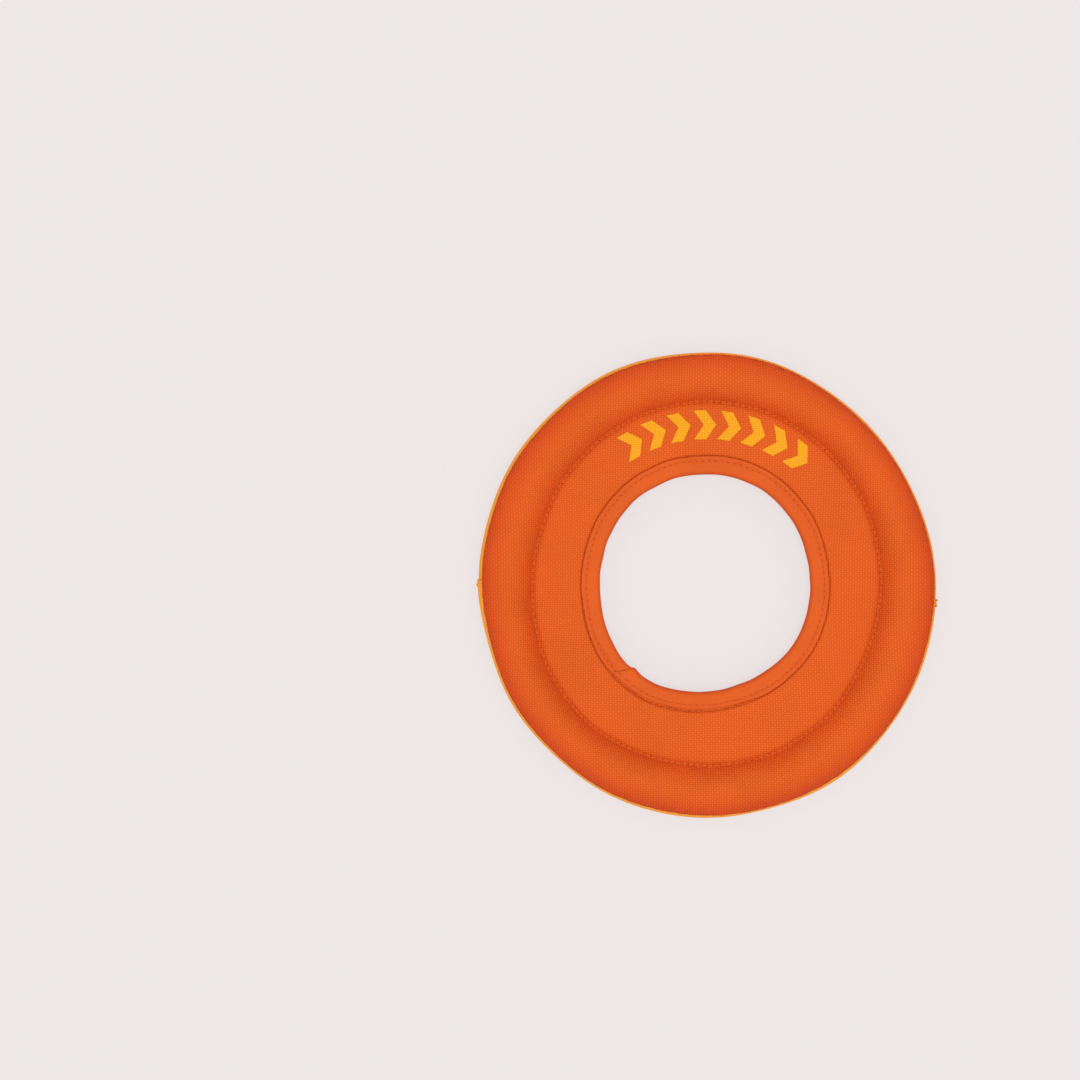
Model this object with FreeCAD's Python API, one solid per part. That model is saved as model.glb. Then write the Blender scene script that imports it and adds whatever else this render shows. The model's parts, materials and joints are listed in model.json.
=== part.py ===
import FreeCAD, Part
import math
import os

# A soft throwing ring: two cloth covers round a foam rim and a thin foam web, closed outside by a
# cloth strip (the gusset) and inside by tape folded over the edge of the hole.
# Lengths are millimetres and angles are degrees, counted anticlockwise from +X seen from above.
# The ring lies flat, its axis is Z, the print is at +Y, and the surface that it rests on is z = 0.
# Sections are drawn as (r, z) with z counted from the ring's middle plane, then lifted.

# Radial sizes, from the outside inwards
outside_diameter = 228.6
rim_width = 26.0  # outside of the gusset to the quilting stitches
web_width = 25.3  # quilting stitches to the binding
binding_width = 9.6  # binding tape seen from above, its outer edge to the hole

# Thicknesses
rim_thickness = 20.8  # through the crown of the puffed rim
web_thickness = 6.4  # through the flat web
quilt_thickness = 4.0  # through the web where the quilting stitches pinch it
hem_thickness = 4.6  # through the web's edge, inside the binding
rest_squash = 0.2  # how far the rim is flattened where it rests
cloth = 0.8  # covers and gusset
tape = 0.9  # binding
print_film = 0.1

# Sewing
gusset_width = 12.0  # height of the gusset between its two seams
seam_allowance = 4.0  # cloth turned in along the gusset's seams and at its joins
gusset_join_angles = {"left": 179.5, "right": 355.5}
thread_radius = 0.25
riser_radius = 0.225  # the thread where it climbs onto the tape's lap, drawn a little thinner
quilt_land = 1.2  # width of the pinched floor that the quilting stitches lie in
quilt_run = 3.0  # over which the web's cloth curves down to that floor
hem_gap = 0.3  # from the binding's edge to the foot of the web's curve
hem_run = 2.4  # over which the web's cloth curves down to the binding
hem_stitch_margin = 2.5  # binding's edge to its stitches
fold_round = 1.6  # outer radius of the tape's two folds
fold_gap = 0.8  # air between the tape's fold and the covers' cut edge
lap_angle = 224.0  # where the binding's end lies over its start
lap_length = 26.0
join_row_gap = 3.0  # between the two rows of stitches across a gusset join

# Print: a curved row of chevrons
chevron_count = 8
chevron_height = 13.6
chevron_width = 10.8
chevron_stroke = 6.0
chevron_pitch = 12.2
print_angle = 86.4  # middle of the row
print_inset = 0.75  # from the flat web's outer end to the row

# Places that follow from the sizes
outside_r = outside_diameter / 2
quilt_r = outside_r - rim_width
binding_r = quilt_r - web_width
hole_r = binding_r - binding_width
hem_edge_r = hole_r + tape + fold_gap
rim_r = rim_thickness / 2  # radius of the rim's round outer half
crown_r = outside_r - rim_r  # the crown stands over the centre of that round
seam_angle = math.degrees(math.asin(gusset_width / 2 / rim_r))
foam_joint_r = quilt_r + quilt_land / 2
web_in_r = binding_r + hem_gap + hem_run
web_out_r = quilt_r - quilt_land / 2 - quilt_run
web_z = web_thickness / 2
quilt_z = quilt_thickness / 2
hem_z = hem_thickness / 2
binding_z = hem_z + tape
rest_z = rim_r - rest_squash
lap_span = math.degrees(lap_length / hole_r)

ORIGIN = FreeCAD.Vector(0, 0, 0)
UP = FreeCAD.Vector(0, 0, 1)
ACROSS = FreeCAD.Vector(0, 1, 0)


def at(r, z):
    return FreeCAD.Vector(r, 0, z)


def on_rim(distance, angle):
    """A point of the section at a distance and angle from the centre of the rim's round half."""
    a = math.radians(angle)
    return at(crown_r + distance * math.cos(a), distance * math.sin(a))


def face(edges):
    return Part.Face(Part.Wire(Part.__sortEdges__(edges)))


def outline(points):
    return Part.Face(Part.makePolygon(points + points[:1]))


def turn(section, start=0.0, span=360.0):
    """The solid that a section makes as it turns about the ring's axis."""
    placed = section.copy()
    placed.rotate(ORIGIN, UP, start)
    return placed.revolve(ORIGIN, UP, span)


def line(a, b):
    return Part.LineSegment(a, b).toShape()


def arc(centre, a, b):
    """The shorter arc from a to b about a centre."""
    middle = (a - centre) + (b - centre)
    middle.Length = (a - centre).Length
    return Part.Arc(a, centre + middle, b).toShape()


def joined(first, *others):
    return first.multiFuse(list(others)).removeSplitter()


def under(shape):
    return shape.mirror(ORIGIN, UP)


class Curve:
    """An arc of cloth that is level at its top (r, z) and falls to its foot at (r, z)."""

    def __init__(self, top_r, top_z, foot_r, foot_z):
        run = foot_r - top_r
        drop = top_z - foot_z
        self.radius = (run * run + drop * drop) / (2 * drop)
        self.side = math.copysign(1, run)
        self.centre = at(top_r, top_z - self.radius)

    def top(self, inset):
        return self.centre + at(0, self.radius - inset)

    def foot(self, inset, z):
        rise = z - self.centre.z
        reach = math.sqrt((self.radius - inset) ** 2 - rise**2)
        return at(self.centre.x + self.side * reach, z)

    def edge(self, inset, z):
        return arc(self.centre, self.top(inset), self.foot(inset, z))


hem_curve = Curve(web_in_r, web_z, binding_r + hem_gap, hem_z)
quilt_curve = Curve(web_out_r, web_z, quilt_r - quilt_land / 2, quilt_z)
rim_curve = Curve(crown_r, rim_r, foam_joint_r, quilt_z)


def web_profile(inset):
    """Upper surface from the hem to the foam joint, sunk by an inset."""
    hem, quilt = hem_z - inset, quilt_z - inset
    return [
        line(at(hem_edge_r, hem), hem_curve.foot(inset, hem)),
        hem_curve.edge(inset, hem),
        line(hem_curve.top(inset), quilt_curve.top(inset)),
        quilt_curve.edge(inset, quilt),
        line(quilt_curve.foot(inset, quilt), at(foam_joint_r, quilt)),
    ]


def rim_profile(inset, end_angle):
    """Upper surface from the foam joint over the crown to an angle of the rim's round half."""
    quilt = quilt_z - inset
    edges = [
        rim_curve.edge(inset, quilt),
        arc(at(crown_r, 0), rim_curve.top(inset), on_rim(rim_r - inset, end_angle)),
    ]
    if inset > 0:
        edges.insert(0, line(at(foam_joint_r, quilt), rim_curve.foot(inset, quilt)))
    return edges


def allowance(side):
    """Cloth turned in along the upper gusset seam: side 1 is the cover's, -1 is the gusset's."""
    start = on_rim(rim_r - cloth / 2, seam_angle)
    end = on_rim(rim_r - cloth - seam_allowance, seam_angle)
    over = on_rim(side * cloth, seam_angle + 90) - at(crown_r, 0)
    return outline([start, end, end + over, start + over])


def make_top_panel():
    edges = web_profile(0) + rim_profile(0, seam_angle)
    edges += web_profile(cloth) + rim_profile(cloth, seam_angle)
    edges.append(line(at(hem_edge_r, hem_z), at(hem_edge_r, hem_z - cloth)))
    edges.append(line(on_rim(rim_r, seam_angle), on_rim(rim_r - cloth, seam_angle)))
    return joined(turn(face(edges)), turn(allowance(1)))


def make_rest_land():
    """The band of cloth that the ring's weight flattens at the foot of the rim."""
    outer = math.sqrt(rim_r**2 - rest_z**2)
    inner = crown_r - rim_curve.foot(0, rest_z).x
    corners = [(-inner, rest_z), (outer, rest_z), (outer, rest_z - cloth), (-inner, rest_z - cloth)]
    return under(turn(outline([at(crown_r + r, z) for r, z in corners])))


def make_bottom_panel(top_panel):
    squashed_away = Part.makeCylinder(outside_diameter, rim_r, at(0, -rest_z - rim_r))
    return joined(under(top_panel).cut(squashed_away), make_rest_land())


def make_gusset_half(start, end):
    upper, lower = on_rim(rim_r, seam_angle), on_rim(rim_r, -seam_angle)
    upper_in, lower_in = on_rim(rim_r - cloth, seam_angle), on_rim(rim_r - cloth, -seam_angle)
    middle = at(crown_r, 0)
    band = face(
        [
            arc(middle, upper, lower),
            line(lower, lower_in),
            arc(middle, lower_in, upper_in),
            line(upper_in, upper),
        ]
    )
    tab_depth = rim_r - cloth - seam_allowance
    tab_in, tab_out = [on_rim(d, seam_angle) for d in (tab_depth, rim_r - cloth / 2)]
    tab = outline([tab_in, tab_out, at(tab_out.x, -tab_out.z), at(tab_in.x, -tab_in.z)])
    tab_span = math.degrees(cloth / outside_r)
    span = end - start
    pieces = [turn(allowance(-1), start, span), turn(under(allowance(-1)), start, span)]
    pieces += [turn(tab, start, tab_span), turn(tab, end - tab_span, tab_span)]
    return joined(turn(band, start, span), *pieces)


def make_binding():
    """Tape folded over the edge of the hole, with a second layer where its end laps its start."""
    z = binding_z
    fold_r = hole_r + fold_round
    wall_z = z - fold_round
    upper = [
        line(at(binding_r, z), at(fold_r, z)),
        arc(at(fold_r, wall_z), at(fold_r, z), at(hole_r, wall_z)),
        line(at(hole_r, wall_z), at(hole_r, 0)),
        line(at(hole_r + tape, 0), at(hole_r + tape, hem_z)),
        line(at(hole_r + tape, hem_z), at(binding_r, hem_z)),
        line(at(binding_r, hem_z), at(binding_r, z)),
        line(at(hole_r, 0), at(hole_r + tape, 0)),
    ]
    half = turn(face(upper))
    corners = [(fold_r, z), (binding_r, z), (binding_r, z + tape), (fold_r, z + tape)]
    lap = turn(outline([at(r, h) for r, h in corners]), lap_angle, lap_span)
    return joined(half, under(half), lap, under(lap))


def make_foam(upper_edges, walls):
    """Foam under an upper surface, closed down to the middle plane by its walls at (r, z)."""
    edges = upper_edges + [line(at(r, z), at(r, 0)) for r, z in walls]
    ends = [v.Point for e in upper_edges for v in e.Vertexes]
    low_r, high_r = min(p.x for p in ends), max(p.x for p in ends)
    half = turn(face(edges + [line(at(low_r, 0), at(high_r, 0))]))
    return joined(half, under(half))


def make_web_foam():
    return make_foam(web_profile(cloth), [(hem_edge_r, hem_z - cloth), (foam_joint_r, quilt_z - cloth)])


def make_rim_foam(cloth_round_it):
    whole = make_foam(rim_profile(cloth, 0), [(foam_joint_r, quilt_z - cloth)])
    return whole.cut(Part.makeCompound(cloth_round_it))


def disc(centre, along):
    """The thread's round section, facing along the thread."""
    return Part.Face(Part.Wire(Part.makeCircle(thread_radius, centre, along)))


def ring_of_thread(r, z, start=0.0, span=360.0):
    return turn(disc(at(r, z), ACROSS), start, span)


def make_quilt_thread():
    return ring_of_thread(quilt_r, quilt_z + thread_radius)


def make_binding_thread():
    """A thread on the binding that climbs onto the lap and down again."""
    r = binding_r - hem_stitch_margin
    low, high = binding_z + thread_radius, binding_z + tape + thread_radius
    clear = math.degrees(thread_radius / r)
    start, end = lap_angle - clear, lap_angle + lap_span + clear
    pieces = [ring_of_thread(r, high, start, end - start)]
    for angle in (start, end):
        riser = Part.makeCylinder(riser_radius, high - low, at(r, low))
        riser.rotate(ORIGIN, UP, angle)
        pieces.append(riser)
    return joined(ring_of_thread(r, low, end, 360 - (end - start)), *pieces)


def make_rim_seam_thread():
    place = on_rim(rim_r + thread_radius, seam_angle)
    return ring_of_thread(place.x, place.z)


def make_join_thread(angle):
    """Two rows of stitches across the gusset, one each side of a join."""
    bend_r = rim_r + thread_radius
    half_bend = seam_angle - math.degrees(3 * thread_radius / bend_r)
    start = on_rim(bend_r, half_bend)
    along = on_rim(1, half_bend + 90) - at(crown_r, 0)
    row = disc(start, along).revolve(at(crown_r, 0), ACROSS, 2 * half_bend)
    shift = math.degrees(join_row_gap / 2 / outside_r)
    rows = []
    for side in (-1, 1):
        copy = row.copy()
        copy.rotate(ORIGIN, UP, angle + side * shift)
        rows.append(copy)
    return Part.makeCompound(rows)


def make_print():
    """Chevrons of thin ink on the web, their backs towards the start of the row."""
    a, b, h = chevron_width / 2, chevron_stroke, chevron_height / 2
    row_r = web_out_r - print_inset - h
    outline_points = [(-a, h), (b - a, h), (a, 0), (b - a, -h), (-a, -h), (a - b, 0)]
    points = [FreeCAD.Vector(x, row_r + y, web_z) for x, y in outline_points]
    chevron = outline(points).extrude(FreeCAD.Vector(0, 0, print_film))
    pitch = math.degrees(chevron_pitch / row_r)
    row = []
    for i in range(chevron_count):
        copy = chevron.copy()
        copy.rotate(ORIGIN, UP, print_angle - 90 - (i - (chevron_count - 1) / 2) * pitch)
        row.append(copy)
    return Part.makeCompound(row)


left, right = gusset_join_angles["left"], gusset_join_angles["right"]
top_panel = make_top_panel()
bottom_panel = make_bottom_panel(top_panel)
half_a = make_gusset_half(right - 360, left)
half_b = make_gusset_half(left, right)
quilt_thread = make_quilt_thread()
binding_thread = make_binding_thread()
rim_seam_thread = make_rim_seam_thread()

nodes = {
    "top_panel": top_panel,
    "bottom_panel": bottom_panel,
    "gusset_half_a": half_a,
    "gusset_half_b": half_b,
    "inner_binding": make_binding(),
    "rim_foam": make_rim_foam([top_panel, bottom_panel, half_a, half_b]),
    "web_foam": make_web_foam(),
    "quilt_needle_thread": quilt_thread,
    "quilt_bobbin_thread": under(quilt_thread),
    "binding_needle_thread": binding_thread,
    "binding_bobbin_thread": under(binding_thread),
    "rim_seam_thread_top": rim_seam_thread,
    "rim_seam_thread_bottom": under(rim_seam_thread),
    "gusset_join_thread_left": make_join_thread(left),
    "gusset_join_thread_right": make_join_thread(right),
    "printed_mark": make_print(),
}

os.makedirs("parts", exist_ok=True)
for name, shape in nodes.items():
    shape.translate(at(0, rest_z))
    shape.exportStep(f"parts/{name}.step")
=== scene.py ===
import json
import math

import bpy
import numpy as np
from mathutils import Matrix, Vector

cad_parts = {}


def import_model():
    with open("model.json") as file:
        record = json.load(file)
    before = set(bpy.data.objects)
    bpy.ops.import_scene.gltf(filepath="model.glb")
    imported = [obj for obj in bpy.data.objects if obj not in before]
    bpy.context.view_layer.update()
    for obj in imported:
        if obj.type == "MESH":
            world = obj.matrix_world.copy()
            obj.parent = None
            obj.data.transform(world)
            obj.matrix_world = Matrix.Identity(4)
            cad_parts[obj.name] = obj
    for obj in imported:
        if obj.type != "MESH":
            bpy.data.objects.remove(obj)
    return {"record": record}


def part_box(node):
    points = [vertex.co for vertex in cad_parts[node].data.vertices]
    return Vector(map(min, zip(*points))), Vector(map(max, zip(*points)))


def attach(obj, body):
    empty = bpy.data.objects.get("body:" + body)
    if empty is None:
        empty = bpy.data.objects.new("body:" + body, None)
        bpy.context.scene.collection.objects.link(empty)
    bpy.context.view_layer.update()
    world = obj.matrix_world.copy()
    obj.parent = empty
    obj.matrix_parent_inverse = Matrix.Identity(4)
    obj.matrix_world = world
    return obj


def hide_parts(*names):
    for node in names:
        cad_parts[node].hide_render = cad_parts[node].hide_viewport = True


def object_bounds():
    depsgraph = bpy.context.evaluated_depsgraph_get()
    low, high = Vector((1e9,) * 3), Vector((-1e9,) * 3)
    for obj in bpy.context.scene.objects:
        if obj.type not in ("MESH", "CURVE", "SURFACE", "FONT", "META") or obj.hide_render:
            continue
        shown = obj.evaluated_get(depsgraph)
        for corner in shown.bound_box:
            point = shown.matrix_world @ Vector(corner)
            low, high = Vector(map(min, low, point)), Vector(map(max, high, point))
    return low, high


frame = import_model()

# A soft sewn throwing ring, modelled as cloth, foam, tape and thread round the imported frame.
# Shapes are worked out in millimetres, as (r, z) sections about the ring's axis, with z counted
# from its middle plane, and turned into metres when a mesh is made. Angles run anticlockwise
# from +X.
cad_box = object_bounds()
MM = 0.001
TURN = 2 * math.pi


# ---------------------------------------------------------------- sizes that the frame gives
def top_of(node):
    """The node's highest z, in mm."""
    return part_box(node)[1][2] / MM


def foot_of(node):
    """The node's lowest z, in mm."""
    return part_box(node)[0][2] / MM


def reach_of(node):
    """The node's outer radius, in mm: how far it goes along +Y."""
    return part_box(node)[1][1] / MM


mounts = {m["name"]: m for m in frame["record"]["mounts"]}
hole_r = mounts["centre_hole"]["dims"]["r_mm"]
mid_z = (top_of("rim_seam_thread_top") + foot_of("rim_seam_thread_bottom")) / 2
thread_r = (top_of("quilt_needle_thread") - foot_of("quilt_needle_thread")) / 2
outside_r = reach_of("gusset_half_a")
seam_r = reach_of("top_panel")
quilt_r = reach_of("quilt_needle_thread") - thread_r
binding_r = reach_of("inner_binding")
binding_stitch_r = reach_of("binding_needle_thread") - thread_r
rim_r = top_of("top_panel") - mid_z
crown_r = outside_r - rim_r
seam_z = (top_of("gusset_half_a") - foot_of("gusset_half_a")) / 2
seam_angle = math.asin(seam_z / rim_r)
rest_z = mid_z - foot_of("bottom_panel")
web_z = foot_of("printed_mark") - mid_z
quilt_z = foot_of("quilt_needle_thread") - mid_z
binding_z = foot_of("binding_needle_thread") - mid_z

# ---------------------------------------------------------------- sizes of the sewn detail
CLOTH = 0.8  # thickness of the covers' and the gusset's cloth
TAPE = 0.8  # thickness of the binding tape
FOLD_R = 2.4  # radius of the tape's fold round the edge of the hole, where the hem begins
HEM_Z = binding_z - 0.9  # the web's half thickness inside the binding
HEM_GAP = -0.2  # from the tape's edge to the foot of the web's rise, which is just under the tape
HEM_RUN = 1.4  # width of that rise
QUILT_LAND = 1.2  # width of the quilting groove's level bottom
QUILT_RUN = 3.0  # width over which the web falls to it
CURL = 0.16  # radius of the cloth's edge where it turns in at a seam
CREASE = 0.02  # half the gap between two cloths at a seam
TUCK = 0.5  # how much of the turned-in cloth is drawn behind the curl
LIP = 0.08  # how far the cover puffs out just above the seam
STITCH = 3.15  # length of one stitch
QUILT_STITCHES = round(TURN * quilt_r / STITCH)
BINDING_STITCHES = round(TURN * binding_stitch_r / STITCH)
SEAM_STITCHES = round(TURN * seam_r / STITCH)
JOINS = {"left": math.radians(179.5), "right": math.radians(355.5)}
LAP_START = math.radians(228)  # the tape's upper end, which lies over its other end
LAP = math.radians(72)  # how far round the hole the two layers lie on each other
WARP = 1.32  # spacing of the yarns that run up and down the print
WEFT = 1.08  # spacing of the yarns that run across it
PRINT_HEIGHT = 13.6
PRINT_WIDTH = 10.8
PRINT_STROKE = 6.0
PRINT_PITCH = 12.2
PRINT_COUNT = 8
PRINT_MIDDLE = math.radians(86.4)
PRINT_INSET = 0.75  # from the edge of the web's level part to the print
THREAD = thread_r * 1.2  # a sewn thread lies flattened, so it looks a little wider

web_in_r = binding_r + HEM_GAP + HEM_RUN
web_out_r = quilt_r - QUILT_LAND / 2 - QUILT_RUN


# ---------------------------------------------------------------- waves, steps and drift
def smooth(x, start, end):
    """A step from 0 at start to 1 at end."""
    t = np.clip((x - start) / (end - start), 0, 1)
    return t * t * (3 - 2 * t)


def hump(x, width):
    """A round bump, 1 high at 0."""
    return np.exp(-((x / width) ** 2))


def ripple(angle, fewest, most, seed):
    """An uneven wave round the ring, of about unit height, with that many crests in a turn."""
    rng = np.random.default_rng(seed)
    orders = np.arange(fewest, most + 1)
    phases = rng.uniform(0, TURN, len(orders))
    weights = rng.uniform(0.4, 1.0, len(orders))
    waves = weights * np.cos(np.multiply.outer(angle, orders) + phases)
    return waves.sum(-1) / math.sqrt((weights**2).sum() / 2)


def needle(angle, stitches):
    """1 at each needle hole and 0 between them."""
    return ((1 + np.cos(stitches * angle)) / 2) ** 2


def lobes(angle, shift, *waves):
    """How far a sewn circle lies off true, in mm.

    It is moved by shift (x, y). Each wave is (crests in a turn, height, degrees to a crest).
    """
    out = shift[0] * np.cos(angle) + shift[1] * np.sin(angle)
    for count, size, peak in waves:
        out = out + size * np.cos(count * (angle - math.radians(peak)))
    return out


def drift(r, angle):
    """The sewn ring's radial offset from a true circle, at radii and angles that broadcast."""
    binding_lobes = (lobes(angle, (-1.4, 0.6), (2, 1.1, 75), (3, 0.5, -12), (4, 0.5, -37))
                     + 0.06 * ripple(angle, 6, 16, 11))
    quilt_lobes = (lobes(angle, (-0.65, 0.4), (2, 2.0, 82), (3, 0.33, -27), (4, 0.42, 34),
                         (5, 0.26, 9))
                   + 0.12 * ripple(angle, 7, 18, 12))
    outside_lobes = (lobes(angle, (-0.05, 0.1), (2, 1.55, 109), (3, 0.37, -17), (4, 0.2, -10))
                     + 0.24 * ripple(angle, 5, 12, 13))
    circles = [(binding_r, binding_lobes), (quilt_r, quilt_lobes), (outside_r, outside_lobes)]
    radii = [circle[0] for circle in circles]
    shares = np.eye(len(circles))
    return sum(np.interp(r, radii, shares[i]) * circle[1] for i, circle in enumerate(circles))


# ---------------------------------------------------------------- sections
# Paths are arrays of (r, z) points.
def arc(centre, radius, start, end, count):
    a = np.linspace(start, end, count)
    return np.stack([centre[0] + radius * np.cos(a), centre[1] + radius * np.sin(a)], 1)


def straight(a, b, count):
    return np.linspace(a, b, count)


def fall(top, foot, count):
    """The arc between top and foot, in order of radius, that is level at its top."""
    run, drop = foot[0] - top[0], top[1] - foot[1]
    radius = (run * run + drop * drop) / (2 * drop)
    lean = math.asin(min(1, abs(run) / radius)) * math.copysign(1, run)
    points = arc((top[0], top[1] - radius), radius, math.pi / 2 - lean, math.pi / 2, count)
    return points if run < 0 else points[::-1]


def chain(*paths):
    """Paths end to end, each one's first point left out where it repeats the last one's."""
    points = [paths[0]]
    for path in paths[1:]:
        same = np.allclose(points[-1][-1], path[0], atol=1e-6)
        points.append(path[1:] if same else path)
    return np.concatenate(points)


def normals(points):
    """Unit normals of an open path, on its left-hand side."""
    step = np.gradient(points, axis=0)
    step /= np.linalg.norm(step, axis=1, keepdims=True)
    return np.stack([-step[:, 1], step[:, 0]], 1)


def pushes(points):
    """The way each point moves when the cloth is puffed.

    Beyond the crown that is away from the rim's middle, and elsewhere square to the cloth.
    """
    away = points - (crown_r, 0)
    away /= np.linalg.norm(away, axis=1, keepdims=True)
    return np.where(points[:, :1] > crown_r, away, normals(points))


def lengths(points):
    """Length along a path up to each of its points."""
    return np.concatenate([[0], np.cumsum(np.linalg.norm(np.diff(points, axis=0), axis=1))])


def seam_curl(side):
    """Cloth that turns in at the upper gusset seam: side 1 comes from above, -1 from below."""
    a = seam_angle + side * (CURL + CREASE) / rim_r
    out = np.array([math.cos(a), math.sin(a)])
    along = np.array([-math.sin(a), math.cos(a)]) * side
    centre = np.array([crown_r, 0]) + (rim_r - CURL) * out
    turns = np.linspace(0, math.pi / 2, 5)
    curl = centre + CURL * (np.outer(np.cos(turns), out) - np.outer(np.sin(turns), along))
    return np.concatenate([curl, [curl[-1] - TUCK * out]])


def cover_section():
    """A cover from its hem under the tape, over the web and the rim, to the gusset seam."""
    hem_r = binding_r + HEM_GAP
    quilt_foot = (quilt_r - QUILT_LAND / 2, quilt_z)
    rim_foot = (quilt_r + QUILT_LAND / 2, quilt_z)
    return chain(
        straight((hole_r + FOLD_R, HEM_Z), (hem_r, HEM_Z), 4),
        fall((web_in_r, web_z), (hem_r, HEM_Z), 6),
        straight((web_in_r, web_z), (web_out_r, web_z), 17),
        fall((web_out_r, web_z), quilt_foot, 8),
        straight(quilt_foot, rim_foot, 5),
        fall((crown_r, rim_r), rim_foot, 26),
        arc((crown_r, 0), rim_r, math.pi / 2, seam_angle + CURL / rim_r, 13),
        seam_curl(1),
    )


def gusset_section():
    """The edge strip from its upper seam to its lower one."""
    upper = seam_curl(-1)
    bulge = arc((crown_r, 0), rim_r, seam_angle - CURL / rim_r, CURL / rim_r - seam_angle, 21)
    return chain(upper[::-1], bulge, upper * (1, -1))


LEG_POINTS = 17
EDGE_POINTS = 5


def binding_section():
    """Tape from its lower edge in under the web, round the fold and out over the top."""
    bend = arc((hole_r + FOLD_R, binding_z - FOLD_R), FOLD_R, math.pi, math.pi / 2, 10)
    leg = straight((hole_r + FOLD_R, binding_z), (binding_r - TAPE / 2, binding_z), LEG_POINTS)
    edge_middle = (binding_r - TAPE / 2, binding_z - TAPE / 2)
    edge = arc(edge_middle, TAPE / 2, math.pi / 2, 0, EDGE_POINTS)
    upper = chain(bend, leg, edge)
    return chain(upper[::-1] * (1, -1), upper)


# ---------------------------------------------------------------- meshes
def finish_piece(obj, material, nodes):
    obj.data.materials.append(material)
    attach(obj, "root")
    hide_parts(*nodes)


def grid_mesh(name, x, y, z, layers, round_columns):
    """A closed tube or ring of faces from grids of points in mm.

    The rows close on themselves. The columns do too if round_columns, or else the ends get caps.
    layers are grids of (u, v) for UV maps, with a column more where the columns close.
    """
    rows, columns = x.shape
    verts = np.stack([x, y, z + mid_z], -1).reshape(-1, 3) * MM
    last = columns if round_columns else columns - 1
    i, j = np.meshgrid(np.arange(rows), np.arange(last), indexing="ij")
    corners = [(i, j), (i, j + 1), (i + 1, j + 1), (i + 1, j)]
    faces = np.stack([(a % rows) * columns + b % columns for a, b in corners], -1).reshape(-1, 4)
    polygons = faces.tolist()
    if not round_columns:
        end = np.arange(rows) * columns
        polygons += [end[::-1].tolist(), (end + columns - 1).tolist()]
    mesh = bpy.data.meshes.new(name)
    mesh.from_pydata(verts.tolist(), [], polygons)
    for label, values in layers.items():
        corner_values = np.stack([values[a % rows, b] for a, b in corners], 2).reshape(-1, 2)
        extra = np.zeros((0 if round_columns else 2 * rows, 2))
        layer = mesh.uv_layers.new(name=label)
        layer.data.foreach_set("uv", np.concatenate([corner_values, extra]).ravel())
    mesh.polygons.foreach_set("use_smooth", np.ones(len(mesh.polygons), bool))
    mesh.update()
    obj = bpy.data.objects.new(name, mesh)
    bpy.context.scene.collection.objects.link(obj)
    return obj


def swept(name, section, angle, thickness, relief, side=1, round_columns=True, skip=8,
          flat_r=None, bend=None):
    """Cloth over a section, carried round the angles, with the given thickness inside it.

    relief(r, s, angle) gives how far the surface moves out and straight up, in mm, at radius r and
    length s along the section. bend(r, angle) gives a further turn and radial shift. The hidden
    side has one row for each skip rows of the section. flat_r is the inner radius of an annular
    cut, and a piece without one is cut straight. The UV map flat is the place on the flat cloth in
    mm, and the UV map around is (turns, length along the section).
    """
    keep = np.unique(np.append(np.arange(0, len(section), skip), len(section) - 1))[::-1]
    order = np.concatenate([np.arange(len(section)), keep])
    push = pushes(section)[order]
    points = np.concatenate([section, section[keep] - thickness * normals(section)[keep]])
    s = lengths(section)[order][:, None]
    angle = angle[None, :]
    out, up = relief(section[order, :1], s, angle)
    r = points[:, :1] + push[:, :1] * out + drift(points[:, :1], angle)
    z = side * (points[:, 1:] + push[:, 1:] * out + up)
    turn = angle
    if bend:
        extra_turn, extra_r = bend(points[:, :1], angle)
        turn, r = angle + extra_turn, r + extra_r
    x, y, z = np.broadcast_arrays(r * np.cos(turn), r * np.sin(turn), z)
    wide = np.append(angle[0], angle[0, 0] + TURN)[None, :] if round_columns else angle
    around = np.stack(np.broadcast_arrays(wide / TURN, s), -1)
    if flat_r is None:
        flat = np.stack(np.broadcast_arrays(wide * outside_r, s), -1)
    else:
        flat = np.stack([(flat_r + s) * np.cos(wide), (flat_r + s) * np.sin(wide)], -1)
    rows = slice(None, None, -side)
    return grid_mesh(name, x[rows], y[rows], z[rows], {"flat": flat[rows], "around": around[rows]},
                     round_columns)


def tube(name, path, across, radius, along, sides=8, round_columns=True):
    """Thread along a path of points. across is a sideways direction at each, along its length."""
    if round_columns:
        step = np.roll(path, -1, 0) - np.roll(path, 1, 0)
    else:
        step = np.gradient(path, axis=0)
    step /= np.linalg.norm(step, axis=1, keepdims=True)
    over = np.cross(across, step)
    over /= np.linalg.norm(over, axis=1, keepdims=True)
    around = np.linspace(0, TURN, sides + 1)[:-1]
    points = path[None] + radius * (np.cos(around)[:, None, None] * across[None]
                                    + np.sin(around)[:, None, None] * over[None])
    if round_columns:
        along = np.append(along, 2 * along[-1] - along[-2])
    uv = np.stack(np.broadcast_arrays(along[None, :], (around / TURN)[:, None]), -1)
    x, y, z = points[..., 0], points[..., 1], points[..., 2]
    return grid_mesh(name, x, y, z, {"flat": uv}, round_columns)


def ring_thread(name, angle, r, z, side, sides=8, round_columns=True):
    """Thread round the ring's axis, at radius r and height z: side 1 is above, -1 below."""
    path = np.stack([r * np.cos(angle), r * np.sin(angle), side * z], 1)
    across = np.stack([np.cos(angle), np.sin(angle), 0 * angle], 1)
    return tube(name, path, across, THREAD, angle * r.mean(), sides, round_columns)


def joined(parts, name):
    """One object from several, so that a group of like pieces is one node."""
    with bpy.context.temp_override(active_object=parts[0], selected_editable_objects=parts,
                                   selected_objects=parts, object=parts[0]):
        bpy.ops.object.join()
    parts[0].name = name
    parts[0].data.name = name
    return parts[0]


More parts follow.
